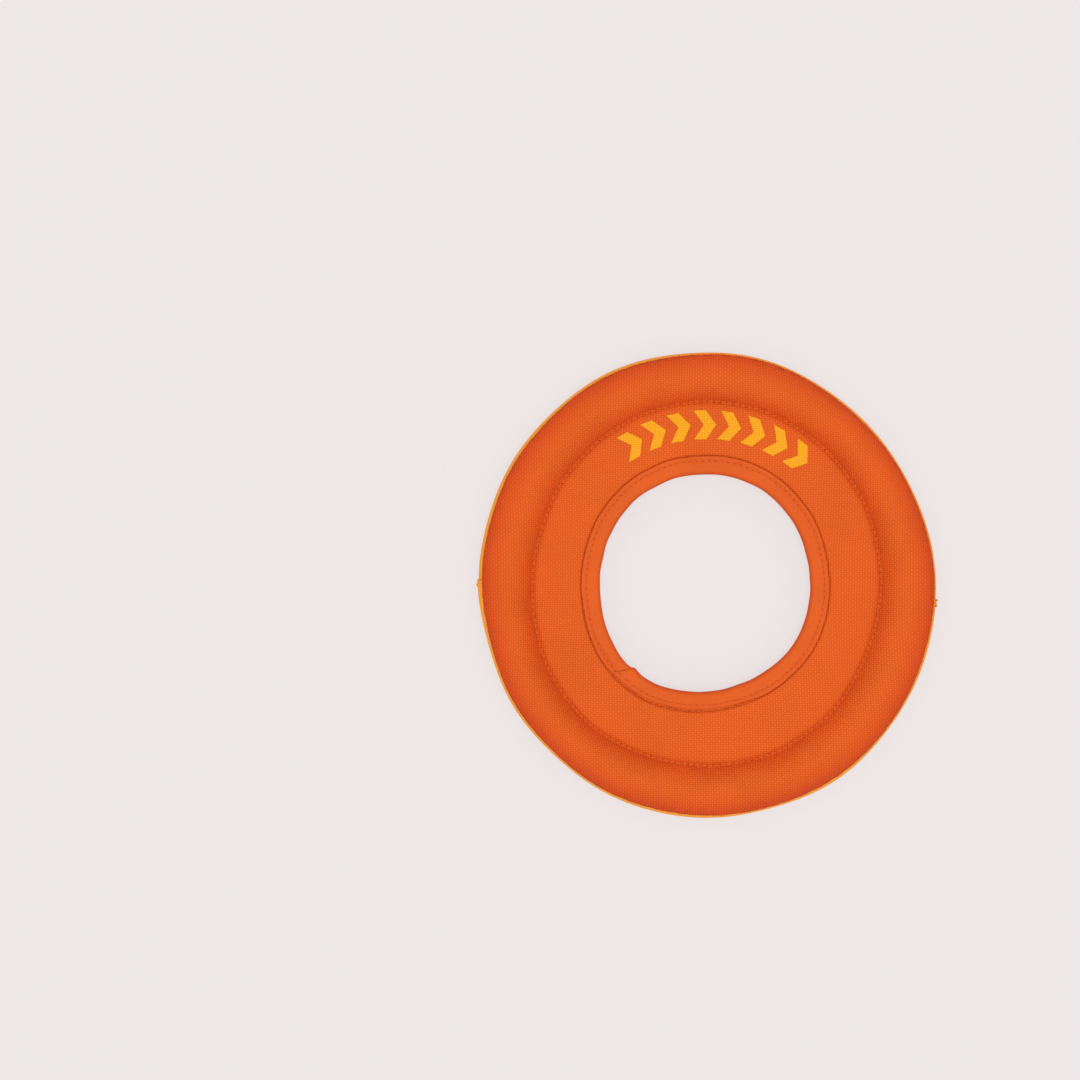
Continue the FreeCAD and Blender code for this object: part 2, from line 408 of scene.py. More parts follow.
# ---------------------------------------------------------------- materials
# Colours are linear RGB. A tint multiplies the colour beneath it.
ORANGE = (0.80, 0.128, 0.0148)
YELLOW = (0.97, 0.38, 0.028)
INK = (0.89, 0.395, 0.011)
# painted shade on the yarn that lies below the other at each crossing of the weave
UNDER_YARN_SHADE = (0.6, 0.5, 0.5)
# painted shade in the needle holes
NEEDLE_HOLE_SHADE = (0.62, 0.42, 0.38)
# painted shade on the covers where they slope
COVER_SLOPE_SHADE = (1.0, 0.84, 0.78)
# painted shade on the covers towards the gusset seam
COVER_SEAM_SHADE = (0.92, 0.68, 0.64)
# painted shade on the binding tape where it slopes
TAPE_SLOPE_SHADE = (0.92, 0.78, 0.7)
FLOOR_GLOW = 0.65


class Material:
    """A material built from a Principled shader and short sums of nodes."""

    def __init__(self, name):
        self.material = bpy.data.materials.new(name)
        self.material.use_nodes = True
        self.tree = self.material.node_tree
        self.shader = self.tree.nodes["Principled BSDF"]

    def set(self, **values):
        for key, value in values.items():
            self.shader.inputs[key.replace("_", " ")].default_value = value

    def node(self, kind, **settings):
        node = self.tree.nodes.new(kind)
        for key, value in settings.items():
            setattr(node, key, value)
        return node

    def link(self, source, target):
        self.tree.links.new(source, target)

    def sum(self, operation, *values):
        node = self.node("ShaderNodeMath", operation=operation)
        for socket, value in zip(node.inputs, values):
            if isinstance(value, (int, float)):
                socket.default_value = value
            else:
                self.link(value, socket)
        return node.outputs[0]

    def blend(self, share, low, high):
        """low where share is 0 and high where it is 1. Each is a colour or a socket."""
        node = self.node("ShaderNodeMix", data_type="RGBA")
        self.link(share, node.inputs["Factor"])
        for socket, value in ((node.inputs[6], low), (node.inputs[7], high)):
            if isinstance(value, tuple):
                socket.default_value = (*value, 1)
            else:
                self.link(value, socket)
        return node.outputs[2]

    def tint(self, share, base, colour):
        """base multiplied by the colour, as far as share says."""
        node = self.node("ShaderNodeMix", data_type="RGBA", blend_type="MULTIPLY")
        self.link(share, node.inputs["Factor"])
        self.link(base, node.inputs[6])
        node.inputs[7].default_value = (*colour, 1)
        return node.outputs[2]

    def ramp(self, value, low, high):
        node = self.node("ShaderNodeMapRange", interpolation_type="SMOOTHSTEP")
        self.link(value, node.inputs["Value"])
        node.inputs["From Min"].default_value = low
        node.inputs["From Max"].default_value = high
        return node.outputs["Result"]

    def noise(self, scale, detail=2.0):
        """Soft noise in the object's own space, with scale in cells per metre."""
        noise = self.node("ShaderNodeTexNoise")
        noise.inputs["Scale"].default_value = scale
        noise.inputs["Detail"].default_value = detail
        self.link(self.node("ShaderNodeTexCoord").outputs["Object"], noise.inputs["Vector"])
        return noise.outputs["Fac"]

    def uv(self, label):
        split = self.node("ShaderNodeSeparateXYZ")
        self.link(self.node("ShaderNodeUVMap", uv_map=label).outputs[0], split.inputs[0])
        return split.outputs[0], split.outputs[1]

    def slope(self):
        """0 where the surface is level and 1 where it is upright."""
        split = self.node("ShaderNodeSeparateXYZ")
        self.link(self.node("ShaderNodeTexCoord").outputs["Normal"], split.inputs[0])
        return self.sum("SUBTRACT", 1.0, self.sum("ABSOLUTE", split.outputs[2]))

    def bump(self, height, distance):
        node = self.node("ShaderNodeBump")
        node.inputs["Distance"].default_value = distance
        self.link(height, node.inputs["Height"])
        self.link(node.outputs["Normal"], self.shader.inputs["Normal"])

    def weave(self, spacing_x, spacing_y):
        """Plain weave in the flat cloth's millimetres: its height, and which yarn is on top."""
        roundness = 2.3  # four times a yarn's height
        flatness, rise = 0.6, 0.22  # the weft is flatter than the warp and lies higher
        sway = 0.42  # how far a yarn goes over and under the others
        u, v = self.uv("flat")
        rounds, waves = [], []
        for place in (self.sum("DIVIDE", u, spacing_x), self.sum("DIVIDE", v, spacing_y)):
            part = self.sum("FRACT", place)
            far_side = self.sum("SUBTRACT", roundness, self.sum("MULTIPLY", part, roundness))
            rounds.append(self.sum("MULTIPLY", part, far_side))
            waves.append(self.sum("SINE", self.sum("MULTIPLY", place, math.pi)))
        warp, weft = rounds[0], self.sum("MULTIPLY_ADD", rounds[1], flatness, rise)
        over = self.sum("MULTIPLY", *waves)
        lift = self.sum("MULTIPLY", over, sway)
        return self.sum("MAXIMUM", self.sum("ADD", warp, lift),
                        self.sum("SUBTRACT", weft, lift)), over

    def holes(self, rows):
        """1 in the needle holes of rows of (stitches in a turn, length along section, radius)."""
        turns, s = self.uv("around")
        total = 0.0
        for stitches, place, radius in rows:
            wave = self.sum("COSINE", self.sum("MULTIPLY", turns, TURN * stitches))
            near = self.sum("POWER", self.sum("MULTIPLY_ADD", wave, 0.5, 0.5), 3.0)
            off = self.sum("DIVIDE", self.sum("SUBTRACT", s, place), radius)
            fade = self.sum("EXPONENT", self.sum("MULTIPLY", self.sum("MULTIPLY", off, off), -1.0))
            total = self.sum("MULTIPLY_ADD", near, fade, total)
        return total


def shade(colour, factor):
    return tuple(c * factor for c in colour)


def woven(name, colour, spacing, gap_shade, under_yarn_shade, rough, relief, slope_shade=(1, 1, 1), sheen=0.05,
          holes=(), seam_s=None):
    """Cloth of round yarns.

    gap_shade is the colour's share in the gaps between the yarns, a painted shade,
    under_yarn_shade how much darker the yarn below is than the one above, also a painted shade,
    relief the weave's height in metres, and slope_shade the painted shade where the cloth stands
    upright. The cloth gets painted shade towards a seam at length seam_s, and its weave ends
    there.
    """
    m = Material(name)
    height, over = m.weave(*spacing)
    patches = m.ramp(m.noise(45.0, 3.0), 0.3, 0.7)
    slubs = m.ramp(m.noise(900.0, 1.0), 0.25, 0.75)
    base = m.blend(patches, shade(colour, 0.965), shade(colour, 1.03))
    base = m.blend(m.sum("MULTIPLY", slubs, 0.3), base, shade(colour, 1.08))
    slope = m.slope()
    # the weave's painted shade grows where the cloth slopes
    weave_shade_on_slopes = m.sum("MULTIPLY_ADD", m.ramp(slope, 0.02, 0.3), 0.25, 0.75)
    # painted shade on the yarn that lies lower at each crossing
    under_yarn_shade_share = m.sum("MULTIPLY", m.ramp(over, 0.5, -0.5), m.sum("MULTIPLY", weave_shade_on_slopes, under_yarn_shade))
    base = m.tint(under_yarn_shade_share, base, UNDER_YARN_SHADE)
    # painted shade in the gaps between the yarns
    gaps = m.sum("MULTIPLY", m.ramp(height, 0.75, 0.25), weave_shade_on_slopes)
    base = m.tint(gaps, base, (gap_shade, gap_shade * 0.7, gap_shade * 0.6))
    # painted shade where the cloth slopes
    base = m.tint(m.ramp(slope, 0.02, 0.5), base, slope_shade)
    if holes:
        # painted shade in the needle holes
        base = m.tint(m.holes(holes), base, NEEDLE_HOLE_SHADE)
    if seam_s:
        # painted shade on the cloth towards the seam
        seam_shade_share = m.ramp(m.uv("around")[1], seam_s - 15.0, seam_s - 0.5)
        base = m.tint(seam_shade_share, base, COVER_SEAM_SHADE)
    m.link(base, m.shader.inputs["Base Color"])
    surface = m.sum("MULTIPLY_ADD", m.noise(3200.0, 2.0), 0.1, height)
    if seam_s:
        before_seam = m.ramp(m.uv("around")[1], seam_s - 0.3, seam_s - 1.6)
        surface = m.sum("MULTIPLY", surface, before_seam)
    m.bump(surface, relief)
    m.set(Roughness=rough, Specular_IOR_Level=0.12, Sheen_Weight=sheen, Sheen_Roughness=0.4,
          Sheen_Tint=(*colour, 1))
    return m.material


def thread_material(name, colour):
    """Two twisted plies, as stripes that wind round the thread, with painted shade in the grooves
    between them.
    """
    lay = 0.9  # length of one turn of the twist
    m = Material(name)
    along, around = m.uv("flat")
    wind = m.sum("ADD", m.sum("DIVIDE", along, lay), around)
    ply = m.sum("ABSOLUTE", m.sum("SINE", m.sum("MULTIPLY", wind, TURN)))
    # painted shade in the grooves between the plies
    base = m.blend(m.ramp(ply, 0.0, 0.6), shade(colour, 0.6), colour)
    m.link(base, m.shader.inputs["Base Color"])
    m.bump(ply, 0.00008)
    m.set(Roughness=0.45, Specular_IOR_Level=0.25, Sheen_Weight=0.1, Sheen_Tint=(*colour, 1))
    return m.material


def foam_material():
    m = Material("foam")
    cells = m.noise(1400.0, 2.0)
    m.link(m.blend(m.ramp(cells, 0.35, 0.6), (0.62, 0.62, 0.6), (0.8, 0.8, 0.78)),
           m.shader.inputs["Base Color"])
    m.bump(cells, 0.0001)
    m.set(Roughness=0.9)
    return m.material


def floor_material():
    """A pale studio floor that is mostly lit from within, so that shadows on it stay faint."""
    m = Material("pale_floor")
    m.set(Base_Color=(0.17, 0.162, 0.162, 1), Roughness=0.9, Specular_IOR_Level=0.0,
          Emission_Color=(1.0, 0.954, 0.954, 1), Emission_Strength=FLOOR_GLOW)
    return m.material


# ---------------------------------------------------------------- covers
SECTION = cover_section()
SECTION_S = lengths(SECTION)
SECTION_OUT = int(np.argmax(SECTION[:, 0])) + 1  # points up to where the cloth turns in
SEAM_S = SECTION_S[SECTION_OUT - 1]
FLAT_R = SECTION[0, 0]  # inner radius of the flat cut
COVER_COLUMNS = QUILT_STITCHES * 6


def length_at(r):
    """Length along the cover's section at radius r."""
    return np.interp(r, SECTION[:SECTION_OUT, 0], SECTION_S[:SECTION_OUT])


quilt_s = float(length_at(quilt_r))


def catmull_rom(a, b, c, d, t):
    """The smooth curve through four evenly spaced values, at t of the way from b to c."""
    return b + 0.5 * t * (c - a + t * (2 * a - 5 * b + 4 * c - d + t * (3 * (b - c) + d - a)))


class Puff:
    """How a cloth simulation moves a cover that is cut flat, sewn down and held out by foam.

    The cloth's rest shape lies part of the way to the flat cut annulus, which is longer round the
    rim than the rim is. It is pinned at the quilting line's needle holes and along both edges, and
    pressed from inside.
    """
    SCALE = 10.0  # the simulation runs at ten times the size, where the solver is steady
    PER_STITCH = 4  # columns of the simulated mesh for each stitch of the quilting line
    INSIDE = 8  # how far inside the quilting line the simulated cloth begins
    EASE = 0.5  # how far the rest shape lies towards the flat cut
    JOG = 0.03  # starting noise, which lets the puckers form
    MOST = 1.1  # limit to how far the cloth moves
    FRAMES = 18

    def __init__(self, seed):
        inner = int(np.searchsorted(SECTION[:SECTION_OUT, 0], quilt_r - self.INSIDE))
        # every second row, up to just above the gusset seam
        rows = np.concatenate([np.arange(inner, SECTION_OUT - 6, 2), [SECTION_OUT - 4]])
        self.s = SECTION_S[rows]
        self.count = QUILT_STITCHES * self.PER_STITCH
        self.out = np.zeros((self.count, len(rows)))
        self.run(SECTION[rows], pushes(SECTION)[rows], np.random.default_rng(seed))

    def run(self, section, push, rng):
        angle = np.arange(self.count) * TURN / self.count
        r, z = section[:, :1], section[:, 1:]
        jog = rng.normal(0, self.JOG, (len(section), self.count))
        shape = self.points(r + push[:, :1] * jog, z + push[:, 1:] * jog, angle)
        flat = FLAT_R + self.s[:, None]
        rest_r = r + self.EASE * (flat - r)
        step = np.diff(self.s)
        rise = np.sqrt(np.maximum(step**2 - np.diff(rest_r[:, 0]) ** 2, 0))
        rest = self.points(rest_r, np.concatenate([[0], np.cumsum(rise)])[:, None], angle)
        moved = self.simulated(shape, rest, self.pins(section, angle))
        delta = moved - shape
        out = (delta[..., 0] * np.cos(angle) + delta[..., 1] * np.sin(angle)) * push[:, :1]
        out = out + delta[..., 2] * push[:, 1:]
        out = out + jog - out.mean(1, keepdims=True)  # the mean section is the CAD's
        self.out = self.MOST * np.tanh(out / self.MOST).T

    def points(self, r, z, angle):
        r, z = r + 0 * angle, z + 0 * angle
        return np.stack([r * np.cos(angle), r * np.sin(angle), z], -1)

    def pins(self, section, angle):
        """Which points stay put: both edges and each needle hole of the quilting line."""
        row = np.arange(len(section))[:, None]
        sewn = (row < 2) | (row > len(row) - 2)
        at_quilt = np.abs(section[:, :1] - quilt_r) < 0.35
        return sewn | (at_quilt & (needle(angle, QUILT_STITCHES) > 0.9))

    def simulated(self, shape, rest, pinned):
        rows, columns = shape.shape[:2]
        i, j = np.meshgrid(np.arange(rows - 1), np.arange(columns), indexing="ij")
        corners = [(i, j), (i, j + 1), (i + 1, j + 1), (i + 1, j)]
        faces = np.stack([a * columns + b % columns for a, b in corners], -1).reshape(-1, 4)
        size = MM * self.SCALE
        mesh = bpy.data.meshes.new("pattern")
        mesh.from_pydata((shape.reshape(-1, 3) * size).tolist(), [], faces[:, ::-1].tolist())
        obj = bpy.data.objects.new("pattern", mesh)
        bpy.context.scene.collection.objects.link(obj)
        obj.shape_key_add(name="worn")
        key = obj.shape_key_add(name="cut")
        key.data.foreach_set("co", (rest * size).ravel())
        group = obj.vertex_groups.new(name="sewn")
        group.add(np.flatnonzero(pinned.ravel()).tolist(), 1.0, "REPLACE")
        over_rim = np.hypot(shape[..., 0], shape[..., 1]) > quilt_r
        group = obj.vertex_groups.new(name="puffed")
        group.add(np.flatnonzero(over_rim.ravel()).tolist(), 1.0, "REPLACE")
        cloth = obj.modifiers.new("cloth", "CLOTH").settings
        cloth.vertex_group_mass = "sewn"
        cloth.vertex_group_pressure = "puffed"
        cloth.rest_shape_key = key
        cloth.quality = 8
        cloth.mass = 0.3
        cloth.tension_stiffness = cloth.compression_stiffness = 120
        cloth.shear_stiffness = 20
        cloth.bending_stiffness = 0.3
        cloth.tension_damping = cloth.compression_damping = 15
        cloth.air_damping = 3
        cloth.effector_weights.gravity = 0
        cloth.use_pressure = True
        cloth.uniform_pressure_force = 1.5
        scene = bpy.context.scene
        obj.modifiers["cloth"].point_cache.frame_end = self.FRAMES
        for frame_number in range(1, self.FRAMES + 1):
            scene.frame_set(frame_number)
        worn = obj.evaluated_get(bpy.context.evaluated_depsgraph_get()).to_mesh()
        co = np.empty(rows * columns * 3)
        worn.vertices.foreach_get("co", co)
        scene.frame_set(1)
        bpy.data.objects.remove(obj, do_unlink=True)
        bpy.data.meshes.remove(mesh)
        return co.reshape(shape.shape) / size

    def at(self, s, angle):
        """How far out the cloth is at lengths s and angles that broadcast."""
        s, angle = np.broadcast_arrays(s, angle)
        row = np.interp(s, self.s, np.arange(len(self.s)))
        low = np.minimum(np.floor(row).astype(int), len(self.s) - 2)
        column = angle / TURN * self.count
        base = np.floor(column).astype(int)
        pair = []
        for k in (low, low + 1):
            near = [self.out[(base + step) % self.count, k] for step in (-1, 0, 1, 2)]
            pair.append(catmull_rom(*near, column - base))
        blend = row - low
        return pair[0] * (1 - blend) + pair[1] * blend


def cover_relief(seed):
    puff = Puff(seed)

    def relief(r, s, angle):
        """Lumps over the rim, the simulated puckers, and a dimple at each needle hole."""
        past = r - quilt_r
        from_seam = SEAM_S - s
        rim = smooth(r, quilt_r, crown_r) * (1 - 0.7 * smooth(r, crown_r, seam_r))
        wall = np.exp(-np.maximum(past, 0) / 5) * smooth(past, 0.2, 2.5)
        inner = np.exp(-np.maximum(-past, 0) / 3.5) * smooth(-past, 0.2, 2.0)
        edge = 0.08 * np.exp(-np.maximum(from_seam, 0) / 3.5)
        out = puff.at(s, angle) + LIP * hump(from_seam - 1.2, 2.2) * smooth(from_seam, -1.5, 0)
        # the rim is fuller on one side, and lumpy all round
        fullness = lobes(angle, (0, 0), (1, 0.7, 250)) + 0.22 * ripple(angle, 3, 9, seed)
        out = out + rim * (fullness + 0.08 * ripple(angle, 12, 30, seed + 1))
        # small puckers on both sides of the quilting line and above the gusset seam
        out = out + wall * 0.13 * ripple(angle, 22, 75, seed + 2)
        out = out + inner * 0.07 * ripple(angle, 25, 90, seed + 3)
        out = out + edge * ripple(angle, 40, 110, seed + 4)
        # the web swells a little between its two seams
        share = np.clip((r - web_in_r) / (web_out_r - web_in_r), 0, 1)
        up = 0.25 * np.sin(math.pi * share) * (1 + 0.3 * ripple(angle, 2, 7, seed + 6))
        up = up - 0.40 * hump(past, 0.85) * needle(angle, QUILT_STITCHES)
        return out, up

    return relief


cover_cloth = woven("woven_cover", ORANGE, (WARP, WEFT), gap_shade=0.76, under_yarn_shade=0.34, rough=0.6,
                    relief=0.00042, slope_shade=COVER_SLOPE_SHADE,
                    holes=[(QUILT_STITCHES, quilt_s, 0.45)], seam_s=SEAM_S)
top_relief = cover_relief(100)
bottom_relief = cover_relief(200)


def cover(name, side, relief, node):
    angle = np.arange(COVER_COLUMNS) * TURN / COVER_COLUMNS
    piece = swept(name, SECTION, angle, CLOTH, relief, side=side, flat_r=FLAT_R)
    if side < 0:  # the foot of the rim is flattened on the floor
        for vertex in piece.data.vertices:
            vertex.co.z = max(vertex.co.z, (mid_z - rest_z) * MM)
    finish_piece(piece, cover_cloth, [node])


cover("top_cover", 1, top_relief, "top_panel")
cover("bottom_cover", -1, bottom_relief, "bottom_panel")


# ---------------------------------------------------------------- gusset
JOIN_ROW = 1.55  # from a join to the row of stitches on each side of it

gusset_cloth = woven("gusset_cloth", YELLOW, (0.62, 0.55), gap_shade=0.85, under_yarn_shade=0.08, rough=0.6,
                     relief=0.00008, sheen=0.25)


def join_columns(start, end):
    """Angles from one join to the next, close together beside the joins."""
    fine = np.arange(0, 5, 0.2) / outside_r
    coarse = np.arange(start, end, 0.0062)
    return np.unique(np.concatenate([start + fine, coarse, end - fine, [end]]))


def gusset_relief(start, end, seed):
    def relief(r, s, angle):
        """A raised band at each join, where the cloth turns in, and broad lumps between them."""
        half = s.max() / 2
        from_seam = half - np.abs(s - half) - 0.9
        held = smooth(from_seam, 0, 2.5)
        edge = 0.08 * np.exp(-np.maximum(from_seam, 0) / 2.0)
        x = np.minimum(angle - start, end - angle) * outside_r
        dents = 0.45 * hump(x - JOIN_ROW, 0.3)
        band = 0.75 * (1 - smooth(x, 1.5, 2.3)) - dents - 0.55 * hump(x, 0.2)
        fullness = lobes(angle, (0, 0), (1, 0.22, 258)) - 0.28
        out = band * (0.35 + 0.65 * held) + held * (0.12 * ripple(angle, 3, 12, seed) + fullness)
        out = out + edge * ripple(angle, 60, 130, seed + 1)
        # the strip stands out a little more just below the left join
        below = np.maximum(angle - JOINS["left"], 0) * outside_r
        out = out + 0.4 * held * np.exp(-below / 14) * (angle > JOINS["left"])
        return out, 0 * out

    return relief


def gusset_half(name, node, start, end, seed):
    section = gusset_section()
    piece = swept(name, section, join_columns(start, end), CLOTH, gusset_relief(start, end, seed),
                  round_columns=False, skip=4)
    finish_piece(piece, gusset_cloth, [node])


gusset_half("gusset_strip_a", "gusset_half_a", JOINS["right"] - TURN, JOINS["left"], 300)
gusset_half("gusset_strip_b", "gusset_half_b", JOINS["left"], JOINS["right"], 310)


# ---------------------------------------------------------------- binding
LAP_RISE = TAPE - 0.45  # how far the upper layer of the lap stands above the rest of the tape
LAP_SINK = 0.42  # how far the lower layer is pressed down beneath it
LAP_INSET = 1.3  # how far the upper layer's edge stands inside the lower layer's
LAP_SLANT = math.radians(5.5)  # how far round the slanting end runs
TAPE_INSET = 0.5  # how far the whole tape's edge is drawn in
TAIL_INSET = 3.0  # how far the lower layer's hidden end tapers in


def lap_lift(t):
    """How far the tape moves off the hem at t, the angle from its upper end."""
    return (LAP_RISE * (1 - smooth(t, LAP + 0.02, LAP + 0.24))
            + 0.1 * hump(t * hole_r, 2.0) - 0.5 * hump(t * hole_r, 0.6)
            - LAP_SINK * smooth(t, TURN - 0.30, TURN - 0.02))


def lap_inset(t):
    """How far the tape's edge is drawn in at t."""
    return (LAP_INSET * (1 - smooth(t, LAP - 0.3, LAP + 0.05))
            + TAIL_INSET * smooth(t, TURN + LAP - 0.35, TURN + LAP - 0.05))


def binding_relief(r, s, angle):
    """The lap, the tape's slight crown, a stitched groove and small unevenness."""
    t = angle - LAP_START
    past = r - binding_stitch_r
    middle = (hole_r + 2 + binding_stitch_r) / 2
    out = lap_lift(t) + 0.16 * hump(r - middle, 2.4)
    out = out - 0.22 * hump(past, 0.8) * (0.4 + 0.6 * needle(angle, BINDING_STITCHES))
    out = out + 0.05 * ripple(angle, 18, 60, 401) * hump(r - middle, 3)
    out = out + 0.05 * ripple(angle, 9, 30, 402) * (1 - smooth(r, hole_r, hole_r + 2.5))
    return out, 0 * out


def binding_bend(r, angle):
    """Draws the tape's edge in and lets it wander, slants its end and rounds the lap's corner."""
    t = angle - LAP_START
    share = np.clip((r - hole_r) / (binding_r - hole_r), 0, 1)
    wander = 0.05 * ripple(angle, 14, 50, 403) + 0.08 * ripple(angle, 4, 12, 404)
    at_end = hump(t * hole_r - 1.0, 3.0) + hump((t - TURN) * hole_r - 1.0, 3.0)
    corner = 0.7 * at_end * (1 - share)
    turn = -LAP_SLANT * share * (1 - smooth(t, 0, 0.16))
    return turn, share**2 * (wander - TAPE_INSET - lap_inset(t)) - corner


tape_section = binding_section()
tape_lengths = lengths(tape_section)
upper_leg = slice(1 - EDGE_POINTS - LEG_POINTS, 1 - EDGE_POINTS)
tape_stitch_s = float(
    np.interp(binding_stitch_r, tape_section[upper_leg, 0], tape_lengths[upper_leg]))
tape_cloth = woven("binding_tape", shade(ORANGE, 0.88), (0.5, 0.36), gap_shade=0.85, under_yarn_shade=0.06,
                   rough=0.5, relief=0.00006, slope_shade=TAPE_SLOPE_SHADE, sheen=0.1,
                   holes=[(BINDING_STITCHES, tape_stitch_s, 0.4)])


def binding():
    count = int(BINDING_STITCHES * 8 * (TURN + LAP) / TURN)
    angle = LAP_START + np.linspace(0, TURN + LAP, count)
    piece = swept("inner_binding_tape", tape_section, angle, TAPE, binding_relief,
                  round_columns=False, skip=3, bend=binding_bend)
    finish_piece(piece, tape_cloth, ["inner_binding"])


binding()


# ---------------------------------------------------------------- threads
THREAD_POINTS = 12  # along each stitch

orange_thread = thread_material("orange_thread", ORANGE)
yellow_thread = thread_material("yellow_thread", shade(YELLOW, 0.85))


def stitch_wave(angle, stitches, rise, dip):
    """Height of a thread over its cloth: an arch for each stitch, down into the needle holes."""
    arch = (1 - np.cos(stitches * angle)) / 2
    return -dip + (rise + dip) * arch**0.3


def quilt_thread(name, node, side, relief):
    """Thread that lies in the quilting groove, on the dimpled cloth."""
    count = QUILT_STITCHES * THREAD_POINTS
    angle = np.arange(count) * TURN / count
    out, up = relief(quilt_r, quilt_s, angle)
    sag = 0.12 * ripple(angle, 60, 160, 500 + side)
    z = quilt_z + out + up * 0.3 + stitch_wave(angle, QUILT_STITCHES, 0.34, 0.9)
    piece = ring_thread(name, angle, quilt_r + drift(quilt_r, angle) + sag, z, side)
    finish_piece(piece, orange_thread, [node])


def on_tape(r, angle, height):
    """Radii and heights on the binding's top at radii and angles, raised by the heights."""
    t = (angle - LAP_START) % TURN
    share = (r - hole_r) / (binding_r - hole_r)
    new_r = r + drift(r, angle) - share**2 * lap_inset(t)
    z = binding_z - 0.1 + lap_lift(t) + height
    return new_r, z


def binding_thread(name, node, side):
    count = BINDING_STITCHES * THREAD_POINTS
    angle = LAP_START + 0.01 + np.arange(count) * TURN / count
    rise = stitch_wave(angle, BINDING_STITCHES, 0.26, 0.8)
    r, z = on_tape(binding_stitch_r, angle, rise)
    r = r + 0.1 * ripple(angle, 30, 80, 510 + side)
    parts = [ring_thread(name, angle, r, z, side, round_columns=False)]
    if side > 0:
        parts.append(back_tack(name + "_tack"))
    finish_piece(joined(parts, name), orange_thread, [node])


def back_tack(name):
    """The zigzag that locks the seam just before the lap."""
    t = np.linspace(0, 1, 181)
    angle = LAP_START - math.radians(4) - t * math.radians(17)
    turns = t * 6
    swing = np.abs((turns % 2) - 1) * 2 - 1  # from -1 to 1 and back
    middle = binding_stitch_r - 1.2
    height = 0.24 - 0.8 * hump(np.abs(swing) - 1, 0.12)  # down into a needle hole at each turn
    r, z = on_tape(middle + 1.4 * swing * (1 - 0.5 * t), angle, height)
    return ring_thread(name, angle, r, z, 1, round_columns=False)


def seam_thread(name, node, side):
    """Thread that bridges the crease between cover and gusset, just below its lips."""
    angle = np.arange(SEAM_STITCHES * 8) * TURN / (SEAM_STITCHES * 8)
    depth = rim_r - CURL - 0.1 + stitch_wave(angle, SEAM_STITCHES, 0.0, 0.7)
    r = crown_r + depth * math.cos(seam_angle) + drift(seam_r, angle)
    piece = ring_thread(name, angle, r, depth * math.sin(seam_angle), side, sides=6)
    finish_piece(piece, orange_thread, [node])


quilt_thread("quilt_stitches_top", "quilt_needle_thread", 1, top_relief)
quilt_thread("quilt_stitches_under", "quilt_bobbin_thread", -1, bottom_relief)
binding_thread("binding_stitches_top", "binding_needle_thread", 1)
binding_thread("binding_stitches_under", "binding_bobbin_thread", -1)
seam_thread("rim_seam_stitches_top", "rim_seam_thread_top", 1)
seam_thread("rim_seam_stitches_under", "rim_seam_thread_bottom", -1)


def join_thread(name, node, join):
    """Two rows of stitches across the gusset, one each side of the join."""
    bend = np.linspace(-seam_angle + 0.1, seam_angle - 0.1, 61)
    lift = rim_r + 0.3 + stitch_wave(bend, 4 * math.pi / seam_angle, 0.12, 0.9)
    parts = []
    for row in (-1, 1):
        turn = join + row * JOIN_ROW / outside_r
        r = crown_r + lift * np.cos(bend) + drift(outside_r, turn)
        path = np.stack([r * math.cos(turn), r * math.sin(turn), lift * np.sin(bend)], 1)
        across = np.tile([-math.sin(turn), math.cos(turn), 0], (len(path), 1))
        parts.append(tube(f"{name}_{row}", path, across, THREAD, bend * rim_r,
                          round_columns=False))
    finish_piece(joined(parts, name), yellow_thread, [node])


join_thread("gusset_join_stitches_left", "gusset_join_thread_left", JOINS["left"])
join_thread("gusset_join_stitches_right", "gusset_join_thread_right", JOINS["right"])


# ---------------------------------------------------------------- print
ink = woven("print_ink", INK, (WARP, WEFT), gap_shade=0.85, under_yarn_shade=0.1, rough=0.5, relief=0.0003)


def chevron(name, middle, row_r):
    """A chevron of ink that lies on the web's cloth, pointing clockwise."""
    film = 0.07  # the ink's thickness above the cloth
    soaked = 0.1  # and below its surface
    up = np.linspace(1, -1, 49)[None, :]
    across = np.linspace(0, 1, 17)[:, None]
    arm = PRINT_WIDTH - PRINT_STROKE
    x = PRINT_WIDTH / 2 - PRINT_STROKE - np.abs(up) * arm + across * PRINT_STROKE
    y = row_r + up * PRINT_HEIGHT / 2 + 0 * across
    radius = np.hypot(x, y)
    angle = middle - np.arctan2(x, y)
    out, lift = top_relief(radius, length_at(radius), angle)
    surface = web_z + out + lift
    r = radius + drift(radius, angle)
    grids = [np.concatenate([g, g[::-1]]) for g in (r * np.cos(angle), r * np.sin(angle))]
    z = np.concatenate([surface + film, surface[::-1] - soaked])
    flat = np.stack([radius * np.cos(angle), radius * np.sin(angle)], -1)
    return grid_mesh(name, *grids, z, {"flat": np.concatenate([flat, flat[::-1]])}, False)


def printed_row():
    row_r = web_out_r - PRINT_INSET - PRINT_HEIGHT / 2
    places = (np.arange(PRINT_COUNT) - (PRINT_COUNT - 1) / 2) * PRINT_PITCH / row_r
    parts = [chevron(f"chevron_{i}", PRINT_MIDDLE - place, row_r)
             for i, place in enumerate(places)]
    finish_piece(joined(parts, "printed_chevrons"), ink, ["printed_mark"])


printed_row()


# ---------------------------------------------------------------- foam inside
FOAM_GAP = CLOTH + 0.2  # from a cover's outer face to the foam

foam = foam_material()


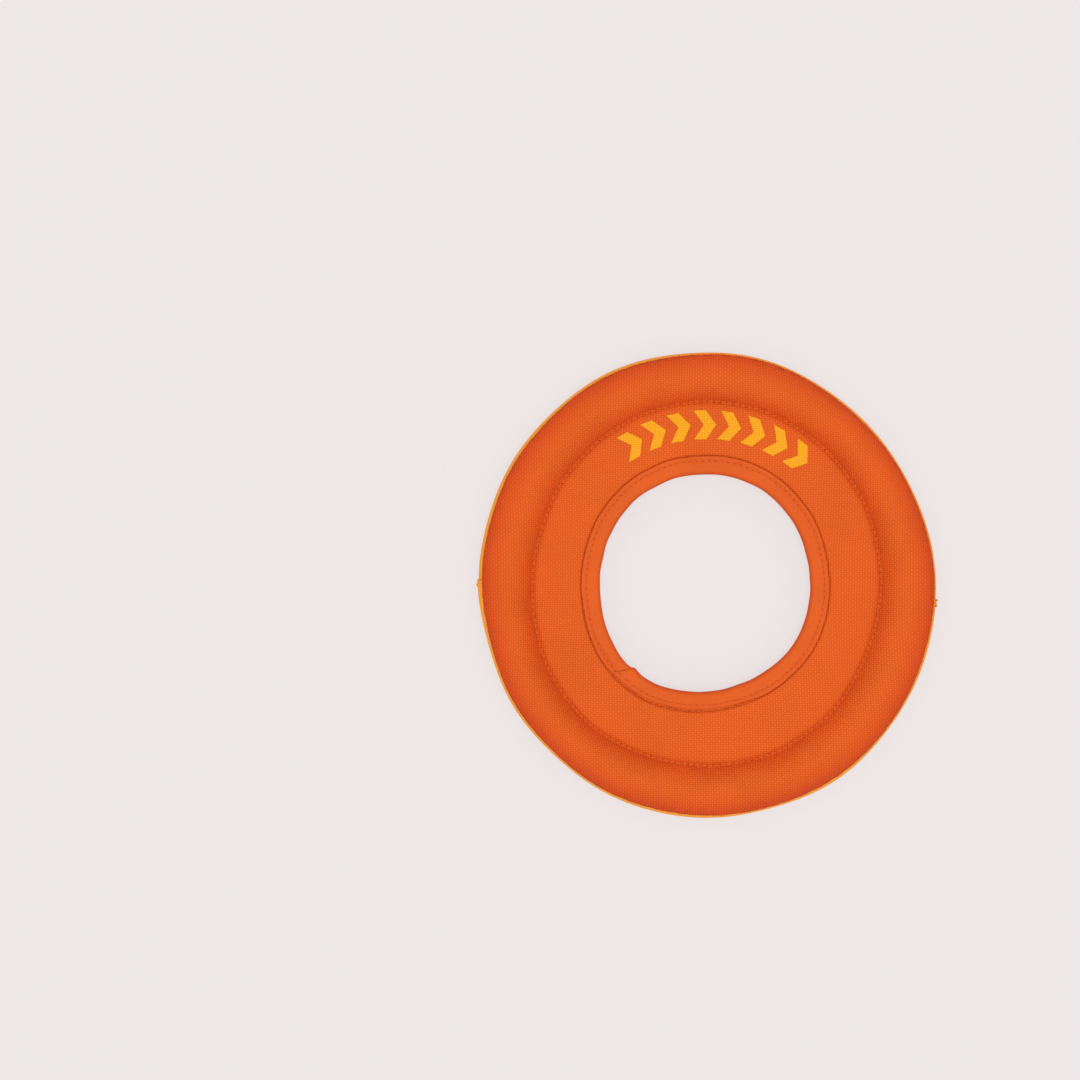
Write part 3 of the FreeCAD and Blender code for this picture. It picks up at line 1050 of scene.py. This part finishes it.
def foam_piece(name, node, inner_r, outer_r):
    """Foam that fills the space under the covers, a little inside them."""
    round_end = arc((crown_r, 0), rim_r, seam_angle + CURL / rim_r, 0.0, 9)
    whole = chain(SECTION[:SECTION_OUT - 1], round_end)
    upper = whole[(whole[:, 0] >= inner_r) & (whole[:, 0] <= outer_r)][::2]
    push = pushes(upper)
    inset = upper - FOAM_GAP * push
    s = length_at(upper[:, :1])
    angle = np.arange(QUILT_STITCHES * 3)[None, :] * TURN / (QUILT_STITCHES * 3)
    r, z = [], []
    for side, relief in ((1, top_relief), (-1, bottom_relief)):
        out, up = relief(upper[:, :1], s, angle)
        out = out * (upper[:, 1:] > seam_z)
        r.append(inset[:, :1] + push[:, :1] * out + drift(upper[:, :1], angle))
        up = up * (upper[:, :1] < crown_r)
        z.append(side * np.minimum(inset[:, 1:] + push[:, 1:] * out + up, rest_z - FOAM_GAP))
    r, z = [np.concatenate([g[0], g[1][::-1]])[::-1] for g in (r, z)]
    no_uv = np.zeros((len(r), angle.shape[1] + 1, 2))
    piece = grid_mesh(name, r * np.cos(angle), r * np.sin(angle), z, {"flat": no_uv}, True)
    finish_piece(piece, foam, [node])


foam_piece("rim_foam_ring", "rim_foam", quilt_r + 1.2, outside_r)
foam_piece("web_foam_sheet", "web_foam", hole_r + 3, quilt_r - 0.6)


# ---------------------------------------------------------------- floor, light and camera
def floor():
    """A wide pale floor, as stage only."""
    mesh = bpy.data.meshes.new("floor")
    half = 6.0
    mesh.from_pydata([(-half, -half, 0), (half, -half, 0), (half, half, 0), (-half, half, 0)], [],
                     [(0, 1, 2, 3)])
    obj = bpy.data.objects.new("floor", mesh)
    bpy.context.scene.collection.objects.link(obj)
    obj.location.z = cad_box[0][2] - 0.0001  # just clear of the foot, which would flicker on it
    mesh.materials.append(floor_material())


def area_light(name, place, size, power, colour):
    """A square light that faces the ring."""
    light = bpy.data.lights.new(name, "AREA")
    light.size = size
    light.energy = power
    light.color = colour
    obj = bpy.data.objects.new(name, light)
    obj.location = place
    bpy.context.scene.collection.objects.link(obj)
    obj.rotation_mode = "QUATERNION"
    obj.rotation_quaternion = (-obj.location).to_track_quat("-Z", "Y")


def world():
    sky = bpy.data.worlds.new("studio")
    bpy.context.scene.world = sky
    sky.use_nodes = True
    back = sky.node_tree.nodes["Background"]
    back.inputs["Color"].default_value = (1, 0.995, 0.99, 1)
    back.inputs["Strength"].default_value = 0.8


def camera():
    """Straight above and looking down, with the ring low and right of the picture's middle."""
    span = 0.5346  # width of the picture at the ring's middle plane
    height = 1.2
    data = bpy.data.cameras.new("camera")
    data.sensor_width = 36
    data.lens = data.sensor_width * height / span
    obj = bpy.data.objects.new("camera", data)
    obj.location = (-0.0827, 0.0223, mid_z * MM + height)
    bpy.context.scene.collection.objects.link(obj)
    bpy.context.scene.camera = obj


floor()
world()
area_light("softbox", (-0.1, -0.15, 3.0), 1.4, 38.0, (1.0, 0.99, 0.98))
camera()
bpy.context.scene.view_settings.view_transform = "Standard"
